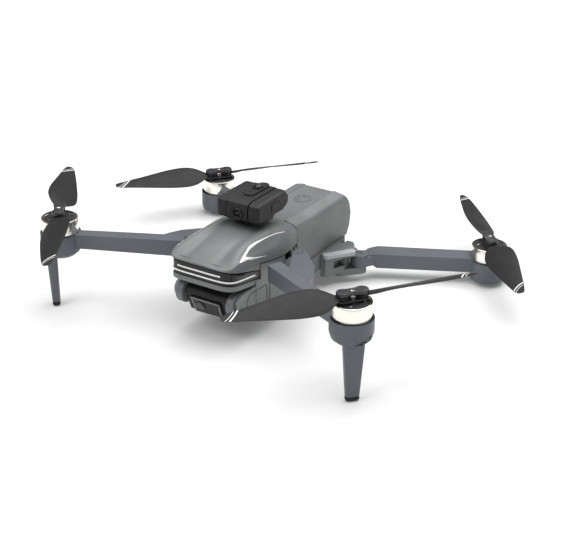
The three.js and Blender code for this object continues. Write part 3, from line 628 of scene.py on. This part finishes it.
def battery_rear(height):
    """Where the battery's rounded back is at a height."""
    heights = [24, 27, 34, 41, 48, 51, 53.5, 55.5]
    return spline(heights, [55.4, 56.3, 58.1, 57.2, 55.0, 53.3, 51.2, 49.6], height)


def battery_height(y, z, front):
    """The height of a point of the section, raised where the lower edge slopes up to the seam."""
    if y >= RAMP_END:
        return z
    low = RAMP_TOP - (y - front) * RAMP_DROP / (RAMP_END - front)
    if z > RAMP_SHARE_TOP:
        return max(z, low)
    return low + (RAMP_SHARE_TOP - low) * (z - BATTERY_LOW) / (RAMP_SHARE_TOP - BATTERY_LOW)


def build_battery():
    """The pack with its deck, latch and power button."""
    half = battery_profile()
    profile = half + [(-x, z) for x, z in half[-2::-1]]
    front = SEAM + 0.45
    rows = []
    shares = [0, 0.01, 0.03] + list(np.linspace(0.08, 0.95, 24)) + [0.975, 0.99, 1.0]
    for share in shares:
        row = []
        for x, z in profile:
            y = front + (battery_rear(z) - front) * share
            lift = max(0.0, (NOSE_LIFT_END - y) / NOSE_LIFT_LENGTH) if z > 50 else 0.0
            pinch = 1.0
            if share > END_SHARE:
                pinch = 1 - END_PINCH * ((share - END_SHARE) / (1 - END_SHARE)) ** 2
            row.append((x * pinch, y, battery_height(y, z, front) + lift))
        rows.append(row)
    shape = Shape()
    shape.grid(rows)
    well = Shape()
    well_profile = [(0, 54.1), (5.9, 54.1), (5.95, 54.55), (6.3, 54.57), (6.7, DECK - 0.01), (0, DECK - 0.01)]
    well.lathe(well_profile, (0, BUTTON_Y, 0))
    shape.add(well.points, well.faces)
    piece("battery_shell", shape, [SHELL], "battery", ["battery_case"], bevel=0.7, angle=38)
    latch = Shape()
    latch.grid([[(x, y, z) for x, z in ((-7, 43), (7, 43), (7, 47), (-7, 47))] for y in (55.5, 57.9)])
    piece("battery_latch", latch, [BLACK], "battery", bevel=0.8)
    button = Shape()
    button_profile = [(0, 53.75), (5.5, 53.75), (5.55, 54.75), (5.2, BUTTON_FACE - 0.03), (0, BUTTON_FACE)]
    button.lathe(button_profile, (0, BUTTON_Y, 0))
    piece("power_button_cap", button, [SHELL], "button", ["power_button"])
    level = BUTTON_FACE + 0.01
    mark = Shape()
    turns = [math.radians(a) for a in range(40, 321, 10)]
    mark.tube([(2.6 * math.sin(a), BUTTON_Y + 2.6 * math.cos(a), level) for a in turns], 0.22)
    mark.tube([(0, BUTTON_Y + 0.6, level), (0, BUTTON_Y + 3.4, level)], 0.22)
    mark.tube(circle(0, BUTTON_Y, 4.6, BUTTON_FACE - 0.03, 60), 0.2, loop=True)
    piece("power_symbol", mark, [MARK], "button")


# ------------------------------------------------------------------ camera

CAMERA_Y, CAMERA_Z, TILT = -73.6, 25.6, 22.5
CHEEK_Y, CHEEK_Z, CHEEK_RADIUS, CHEEK_REAR = -74.6, 27.2, 7.2, -60.3
CHEEK_SEAM_DROP = 4.4
LENS_UP = -2.2
LINE_SHRINK, LINE_POINTS = 0.86, 61  # of the pale line round the glass


def camera_point(x, forward, up):
    """A point in the tilted camera's own directions."""
    a = math.radians(TILT)
    return (x, CAMERA_Y - forward * math.cos(a) - up * math.sin(a),
            CAMERA_Z - forward * math.sin(a) + up * math.cos(a))


def build_camera():
    """The camera block with its glass, pale line and lens."""
    refined("camera_body", "camera_block", BLACK, "camera", bevel=0.9)
    panel = Shape()
    outer = [(-11, 4.4), (11, 4.4), (10.4, -8.8), (-10.4, -8.8)]
    rows = []
    for forward, shrink in ((4.4, 0.0), (5.5, 0.0), (5.8, 0.35)):
        rows.append([camera_point(x * (1 - shrink / 11), forward, u * (1 - shrink / 9)) for x, u in outer])
    panel.grid(rows)
    frame_line = Shape()
    corners = [camera_point(x * 0.9, 5.84, (u - LENS_UP) * LINE_SHRINK + LENS_UP) for x, u in outer]
    frame_line.tube(even(corners + [corners[0]], LINE_POINTS + 1)[:-1], 0.16, loop=True)
    piece("camera_window", panel, [GLOSS], "camera", ["camera_panel"], bevel=0.3)
    piece("camera_window_line", frame_line, [SILVER_LINE], "camera")
    lens = Shape()
    turn = Matrix.Rotation(math.radians(90 + TILT), 3, "X")
    centre = camera_point(-4.6, 5.7, LENS_UP)
    lens.lathe([(0, 0), (3.3, 0), (3.3, 0.7), (3.1, 0.95), (2.9, 0.95), (2.8, 0.8), (0, 0.8)], centre, turn)
    piece("camera_lens_glass", lens, [PUPIL], "camera", ["camera_lens"])
    for side, sign in SIDES:
        build_cheek(side, sign)


def build_cheek(side, sign):
    """One rounded side of the camera's yoke, with its seam."""
    node = side + "_camera_cheek"
    cy, cz, radius = CHEEK_Y, CHEEK_Z, CHEEK_RADIUS
    turns = [math.pi / 2 + math.pi * k / 36 for k in range(37)]
    outline = [(cy + radius * math.cos(a), cz + radius * math.sin(a)) for a in turns]
    outline += [(CHEEK_REAR, cz - radius), (CHEEK_REAR, cz + radius)]
    rows = []
    for x, shrink in ((15.8, 0.5), (16.1, 0.0), (19.9, 0.0), (20.5, 0.15), (20.8, 0.45), (20.9, 0.9)):
        scale = 1 - shrink / radius
        rows.append([(x, cy + (y - cy) * scale, cz + (z - cz) * scale) for y, z in outline])
    cheek = Shape()
    cheek.grid(rows)
    piece(side + "_camera_mount", cheek, [CHEEK], "fuselage", [node], mirror=sign < 0)
    level = cz - CHEEK_SEAM_DROP
    reach = cy - math.sqrt(radius**2 - CHEEK_SEAM_DROP**2) - 0.02
    line = [(15.9, reach, level), (20.0, reach, level), (20.95, reach + 0.8, level), (20.95, cy + 6, level)]
    seam = Shape()
    seam.tube(line, 0.13)
    piece(side + "_camera_mount_seam", seam, [DARK], "fuselage", mirror=sign < 0)


# ------------------------------------------------------------------ sensor module

MODULE_TOP, DOME_Y = 79.0, -22.2
DOME_RADIUS, DOME_BASE, DOME_HEIGHT = 3.0, 80.2, 2.0
FRONT_LENS = (0, -45.6, 71.0)
SIDE_EYE = (15.0, -23.3, 71.6)


def build_module():
    """The sensor block on the hood: its band, ends, dome, front lens and the window in each end."""
    refined("module_centre", "module_band", BLACK, "fuselage", bevel=0.5, angle=25)
    refined("module_base", "module_pedestal", BLACK, "fuselage", bevel=0.6)
    turns = [math.radians(a) for a in range(8, 91, 8)]
    profile = [(0, MODULE_TOP), (3.3, MODULE_TOP), (3.3, 80.1), (DOME_RADIUS, DOME_BASE)]
    profile += [(DOME_RADIUS * math.cos(a), DOME_BASE + DOME_HEIGHT * math.sin(a)) for a in turns]
    profile.append((0, 82.0))
    dome = Shape()
    dome.lathe(profile, (0, DOME_Y, 0))
    piece("module_eye", dome, [LENS], "fuselage", ["module_dome"])
    front = Shape()
    front_profile = [(2.2, 1.6), (2.4, -0.2), (3.2, -0.75), (3.9, -0.75), (4.2, -0.4), (4.2, 1.6), (2.2, 1.6)]
    front.lathe(front_profile, FRONT_LENS, TURN_Y)
    piece("module_lens_ring", front, [BLACK], "fuselage", ["module_front_lens"])
    glass = Shape()
    glass.lathe([(0, 0.2), (1.2, 0.3), (2.35, 0.9), (2.35, 1.6), (0, 1.6)], FRONT_LENS, TURN_Y)
    piece("module_lens_glass", glass, [LENS], "fuselage")
    for side, sign in SIDES:
        node = side + "_module_cap"
        refined(node, side + "_module_end", BLACK, "fuselage", bevel=0.5, angle=25)
        corners = [(0, -31.6, 70.4), (0, -30.6, 75.6), (0, -20.6, 74.4), (0, -20.8, 70.2), (0, -26.4, 68.2)]
        rows = [[(x, y, z) for _, y, z in rounded_path(corners, 1.6)] for x in (15.0, 16.0)]
        window = Shape()
        window.grid(rows)
        piece(side + "_module_window", window, [BLACK], "fuselage", mirror=sign < 0, bevel=0.2)
        eye = Shape()
        eye.lathe([(0, 0.4), (2.0, 0.5), (2.0, 1.08), (1.7, 1.1), (1.6, 1.04), (0, 1.04)], SIDE_EYE, TURN_X)
        piece(side + "_module_side_eye", eye, [DARK], "fuselage", mirror=sign < 0)


# ------------------------------------------------------------------ arms

# Each motor's x and y, the height of its pod's rim and the heading of its first blade.
MOTORS = {"front": (104.9, -MOTOR_Y, 49.6, 54.0), "rear": (107.6, MOTOR_Y, 16.2, 129.5)}
PIVOT = 5.7  # from the motor's axis to a blade's
FRONT_PIN = (31.5, -24.0)
ROOT_OUTLINE = [
    (34.3, -37.0), (41.6, -51.2), (56.6, -54.4), (52.6, -44.0), (48.6, -36.4), (41, -30), (35.6, -26),
]


def turned_capsule(start, end, radius, steps=12):
    """The outline of a strip with round ends between two points."""
    heading = math.degrees(math.atan2(end[1] - start[1], end[0] - start[0]))
    return arc(end, radius, heading - 90, 180, steps) + arc(start, radius, heading + 90, 180, steps)


def build_arms():
    """The arms with their legs and feet, the rear brackets with their pale top strips, partly painted
    highlight, the dark rings round the pods and the darker sheet and ring at each front arm's root.
    """
    for side, sign in SIDES:
        for end in ("front", "rear"):
            node = side + "_" + end + "_arm"
            refined(node, node + "_shell", ARM, node, bevel=0.45, angle=26)
            x, y, rim, _ = MOTORS[end]
            seal = Shape()
            seal.lathe([(9.5, -0.2), (11.55, -0.2), (11.6, 0.25), (9.5, 0.25), (9.5, -0.2)], (x, y, rim))
            piece(side + "_" + end + "_pod_seal", seal, [DARK], node, mirror=sign < 0)
        arm = side + "_front_arm"
        bracket = side + "_rear_bracket"
        refined(side + "_front_leg", side + "_front_leg_shell", ARM, arm, bevel=0.6)
        refined(side + "_front_foot", side + "_front_foot_pad", RUBBER, arm, bevel=0.4)
        refined(side + "_rear_foot", side + "_rear_foot_pad", RUBBER, side + "_rear_arm", bevel=0.4)
        refined(bracket, bracket + "_shell", SHELL, "fuselage", bevel=0.5)
        # The strip along each bracket's top: its own pale grey with a painted highlight in its colour.
        strip = Shape()
        strip.prism(turned_capsule((24.2, 20.4), (34.6, 34.4), 2.7), 21.4, 24.1)
        piece(bracket + "_strip", strip, [PALE_STRIP_AND_SHEEN], "fuselage", mirror=sign < 0, bevel=0.5)
        # A thin level sheet over the root of the front arm, coloured a little darker than the arm's top.
        cover = Shape()
        cover.prism(ROOT_OUTLINE, 44.7, 44.92)
        piece(side + "_front_root_cover", cover, [ROOT], arm, mirror=sign < 0)
        ring = Shape()
        ring.tube(circle(*FRONT_PIN, 2.9, 44.8, 40), 0.12, loop=True)
        piece(side + "_front_pin_ring", ring, [MARK], arm, mirror=sign < 0)


# ------------------------------------------------------------------ motors and propellers

# Heights above the rim of the motor's pod.
BELL_FACE, BELL_TOP = 8.95, 9.8
HUB_LOW, PLATE_LOW, PLATE_TOP = 10.2, 14.15, 16.1
SCREW_SEAT = 15.8
BLADE_LEVEL = 12.8
BOLT_CIRCLE = 7.2


def build_bell(side, end, sign):
    """The turning bell with its face, shaft and four bolts."""
    x, y, rim, _ = MOTORS[end]
    bell = Shape()
    skirt = [
        (10.1, 0.4), (11.45, 0.4), (11.5, 0.5), (11.5, 9.3), (11.35, 9.65), (11.0, BELL_TOP), (10.4, 9.7),
        (10.2, 9.4), (10.1, 9.0),
    ]
    face = [(0, 8.1), (10.1, 8.1), (10.15, BELL_FACE), (9.0, 9.15), (3.8, 9.15), (3.5, 9.95), (0, 9.95)]
    bell.lathe(skirt, (x, y, rim), slot=0)
    bell.lathe(face, (x, y, rim), slot=1)
    bell.lathe([(0, -3.3), (1.5, -3.3), (1.5, 8.2), (0, 8.2)], (x, y, rim), slot=0, segments=24)
    body = side + "_" + end + "_rotor"
    node = side + "_" + end + "_motor_bell"
    piece(node + "_shell", bell, [CHROME, DARK], body, [node], mirror=sign < 0)
    bolts = Shape()
    bolt = [(0, 9.0), (1.0, 9.0), (1.0, 9.6), (0.55, 9.65), (0.5, 9.4), (0, 9.4)]
    for k in range(4):
        a = math.tau * k / 4 + 0.4
        place = (x + BOLT_CIRCLE * math.cos(a), y + BOLT_CIRCLE * math.sin(a), rim)
        bolts.lathe(bolt, place, segments=16)
    piece(node + "_bolts", bolts, [STEEL], body, mirror=sign < 0)


def dog_bone(half, radius, waist, steps=16):
    """Two discs joined by a narrower waist."""
    right = arc((half, 0), radius, -130, 260, steps) + [(0, waist)]
    left = arc((-half, 0), radius, 50, 260, steps) + [(0, -waist)]
    return right + left


def build_hub(side, end, sign):
    """The propeller's hub: a lower strap, a top plate, two blade pins with their screws, and the shaft."""
    x, y, rim, angle = MOTORS[end]
    place = Matrix.Translation((x, y, rim)) @ Matrix.Rotation(math.radians(angle), 4, "Z")
    hub = Shape()
    plate = dog_bone(PIVOT, 3.9, 3.0)
    rows = []
    for z, scale in ((PLATE_LOW, 1.0), (15.6, 1.0), (16.0, 0.965), (PLATE_TOP, 0.93)):
        along_scale = 1 - (1 - scale) * 0.35
        rows.append([(px * along_scale, py * scale, z) for px, py in plate])
    hub.grid(rows)
    strap = turned_capsule((-PIVOT, 0), (PIVOT, 0), 3.7, 14)
    hub.prism(strap, HUB_LOW, HUB_LOW + 1.0)
    seat, top = SCREW_SEAT, SCREW_SEAT + 0.55
    for centre in (-PIVOT, PIVOT):
        spot = (centre, 0, 0)
        hub.lathe([(2.2, seat), (3.1, seat), (3.1, top), (2.2, top), (2.2, seat)], spot, segments=32)
        screw = [(0, seat), (1.5, seat), (1.5, 16.28), (0.8, 16.28), (0.7, 16.0), (0, 16.0)]
        hub.lathe(screw, spot, segments=6)
        hub.lathe([(0, HUB_LOW), (1.18, HUB_LOW), (1.18, seat), (0, seat)], spot, segments=20)
        hub.lathe([(0, 10.9), (2.6, 10.9), (2.6, 11.75), (0, 11.75)], spot, segments=28)
    hub.moved(place)
    body = side + "_" + end + "_rotor"
    node = side + "_" + end + "_prop_hub"
    piece(node + "_plate", hub, [HUB], body, [node], mirror=sign < 0, bevel=0.15, angle=50)
    shaft = Shape()
    shaft_profile = [(0, 9.8), (2.05, 9.8), (2.05, 14.2), (1.3, 14.2), (1.3, 16.3), (1.1, 16.5), (0, 16.55)]
    shaft.lathe(shaft_profile, segments=32)
    shaft.moved(place)
    piece(node + "_shaft", shaft, [CHROME], body, mirror=sign < 0)


# Along a blade, by share of its length: the chord, the pitch in degrees and the part of the chord
# that lies ahead of the pivot.
CHORDS = [
    (0.03, 4.6), (0.06, 7.4), (0.1, 11.8), (0.16, 16.2), (0.24, 19.0), (0.33, 19.3), (0.45, 18.0),
    (0.55, 16.0), (0.65, 13.8), (0.75, 11.6), (0.85, 9.3), (0.93, 7.2), (0.98, 5.2), (1.0, 3.4),
]
PITCHES = [
    (0.03, 2.0), (0.08, 14.0), (0.16, 23.0), (0.3, 25.0), (0.5, 22.5), (0.7, 18.0), (0.86, 14.0), (1.0, 11.0),
]
AHEAD = [(0.03, 0.5), (0.45, 0.5), (0.7, 0.48), (0.86, 0.46), (1.0, 0.42)]
LENGTH = 76 - PIVOT
ROOT_THICKNESS, TIP_THICKNESS, CAMBER = 1.75, 0.55, 0.035
STRIPES = ((0.885, 0.9), (0.925, 0.932))  # where each starts and ends along the blade
STRIPE_SLANT = 0.11


def along(table, share):
    """A blade table's value at a share of the length."""
    return spline([row[0] for row in table], [row[1] for row in table], share)


def blade_point(share, across, surface):
    """A point at shares of the blade's length and chord, on its top (+1) or its underside (-1)."""
    chord = along(CHORDS, share)
    pitch = math.radians(along(PITCHES, share))
    ahead = along(AHEAD, share)
    thick = ROOT_THICKNESS + (TIP_THICKNESS - ROOT_THICKNESS) * math.sqrt(share)
    arch = 1 - (2 * across - 1) ** 2
    half = 0.5 * thick * arch**0.55 * (1.15 - 0.45 * across)
    camber = CAMBER * chord * arch * min(1.0, share * 6)
    y = (across - ahead) * chord
    z = camber + surface * half
    level = y * math.cos(pitch) + z * math.sin(pitch)
    rise = z * math.cos(pitch) - y * math.sin(pitch)
    return Vector((share * LENGTH, level, rise))


def blade_shape():
    """A blade along +X from its pivot, with its root disc and its printed stripes."""
    shares = list(np.linspace(0.03, 0.9, 40)) + [0.92, 0.94, 0.96, 0.975, 0.987, 0.995, 1.0]
    across = [0.5 - 0.5 * math.cos(math.pi * k / 12) for k in range(13)]
    rows = []
    for share in shares:
        top = [blade_point(share, c, 1) for c in across]
        under = [blade_point(share, c, -1) for c in across[-2:0:-1]]
        rows.append(top + under)
    shape = Shape()
    shape.grid(rows)
    root = [(1.5, -0.85), (3.0, -0.85), (3.3, -0.6), (3.3, 0.6), (3.0, 0.85), (1.5, 0.85), (1.5, -0.85)]
    shape.lathe(root, segments=40)
    lift = Vector((0, 0, 0.04))
    for stripe in STRIPES:
        strip = []
        for c in np.linspace(0.04, 0.96, 16):
            bend = STRIPE_SLANT * (c - 0.5)
            strip.append([blade_point(share + bend, c, 1) + lift for share in stripe])
        shape.grid(strip, closed=False, slot=1)
    return shape


def build_blades(side, end, sign):
    """The two blades of a propeller; the rear ones have the other hand."""
    x, y, rim, angle = MOTORS[end]
    hand = Matrix.Diagonal((1, 1 if end == "front" else -1, 1, 1))
    level = Matrix.Translation((x, y, rim + BLADE_LEVEL))
    for letter, turn in (("a", 0), ("b", 180)):
        heading = Matrix.Rotation(math.radians(angle + turn), 4, "Z")
        shape = blade_shape()
        shape.moved(level @ heading @ Matrix.Translation((PIVOT, 0, 0)) @ hand)
        body = side + "_" + end + "_blade_" + letter
        piece(body + "_foil", shape, [BLADE, WHITE], body, [body], mirror=sign < 0)


def build_rotors():
    for side, sign in SIDES:
        for end in ("front", "rear"):
            build_bell(side, end, sign)
            build_hub(side, end, sign)
            build_blades(side, end, sign)


def dress(node, material):
    """Gives a CAD node a material."""
    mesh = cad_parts[node].data
    mesh.materials.clear()
    mesh.materials.append(material)


def dress_hidden():
    """Materials for the CAD nodes that keep their own shape."""
    dress("main_board", BOARD)
    dress("belly_sensor", GLOSS)
    for side, _ in SIDES:
        dress(side + "_front_hinge_pin", ARM)
        dress(side + "_rear_hinge_pin", STEEL)
        for end in ("front", "rear"):
            dress(side + "_" + end + "_stator", COPPER)


# ------------------------------------------------------------------ scene

FLOOR_HALF, FLOOR_DROP = 4000, 0.4


def build_stage():
    """A pale floor a little under the feet."""
    corners = [(-1, -1), (1, -1), (1, 1), (-1, 1)]
    bm = bmesh.new()
    verts = [bm.verts.new((x * FLOOR_HALF * MM, y * FLOOR_HALF * MM, -FLOOR_DROP * MM)) for x, y in corners]
    bm.faces.new(verts)
    mesh = bpy.data.meshes.new("floor")
    bm.to_mesh(mesh)
    bm.free()
    obj = bpy.data.objects.new("floor", mesh)
    bpy.context.scene.collection.objects.link(obj)
    paint = moulded("pale_floor", (0.74, 0.74, 0.74), 0.9, spread=0.01, relief=0.0, specular=0.1)
    glow = paint.node_tree.nodes["Principled BSDF"]
    glow.inputs["Emission Color"].default_value = (1, 1, 1, 1)
    glow.inputs["Emission Strength"].default_value = 0.1
    mesh.materials.append(paint)


LIGHTS = [  # name, place in metres, width and height in metres, power in watts
    ("key", (-0.5, -0.9, 1.1), (0.9, 0.7), 9),
    ("fill", (1.2, -0.5, 0.7), (0.8, 0.8), 1.0),
    ("top", (0.1, 0.3, 1.3), (1.8, 1.8), 34),
]
LIGHT_TARGET = Vector((0, 0, 0.03))
WORLD_STRENGTH = 0.16


def build_lights():
    for name, place, size, power in LIGHTS:
        data = bpy.data.lights.new(name, "AREA")
        data.shape = "RECTANGLE"
        data.size, data.size_y = size
        data.energy = power
        obj = bpy.data.objects.new(name, data)
        obj.location = place
        obj.rotation_euler = (LIGHT_TARGET - Vector(place)).to_track_quat("-Z", "Y").to_euler()
        bpy.context.scene.collection.objects.link(obj)
    world = bpy.data.worlds.new("studio")
    bpy.context.scene.world = world
    world.use_nodes = True
    back = world.node_tree.nodes["Background"]
    back.inputs["Color"].default_value = (1, 1, 1, 1)
    back.inputs["Strength"].default_value = WORLD_STRENGTH


SENSOR, LENS_LENGTH = 36, 88.07
VIEW_PLACE = (0.435287, -0.669994 + OFFSET_Y, 0.401924)
VIEW_BACK = Vector((0.4881, -0.7560, 0.4360))


def build_camera_view():
    data = bpy.data.cameras.new("view")
    data.sensor_width = SENSOR
    data.lens = LENS_LENGTH
    data.clip_start = 0.05
    data.clip_end = 20
    obj = bpy.data.objects.new("view", data)
    obj.location = VIEW_PLACE
    obj.rotation_euler = VIEW_BACK.to_track_quat("Z", "Y").to_euler()
    bpy.context.scene.collection.objects.link(obj)
    bpy.context.scene.camera = obj


build_hood()
build_stripes()
build_nose()
build_lower_shell()
build_battery()
build_camera()
build_module()
build_arms()
build_rotors()
dress_hidden()
build_stage()
build_lights()
build_camera_view()
bpy.context.scene.view_settings.view_transform = "Standard"
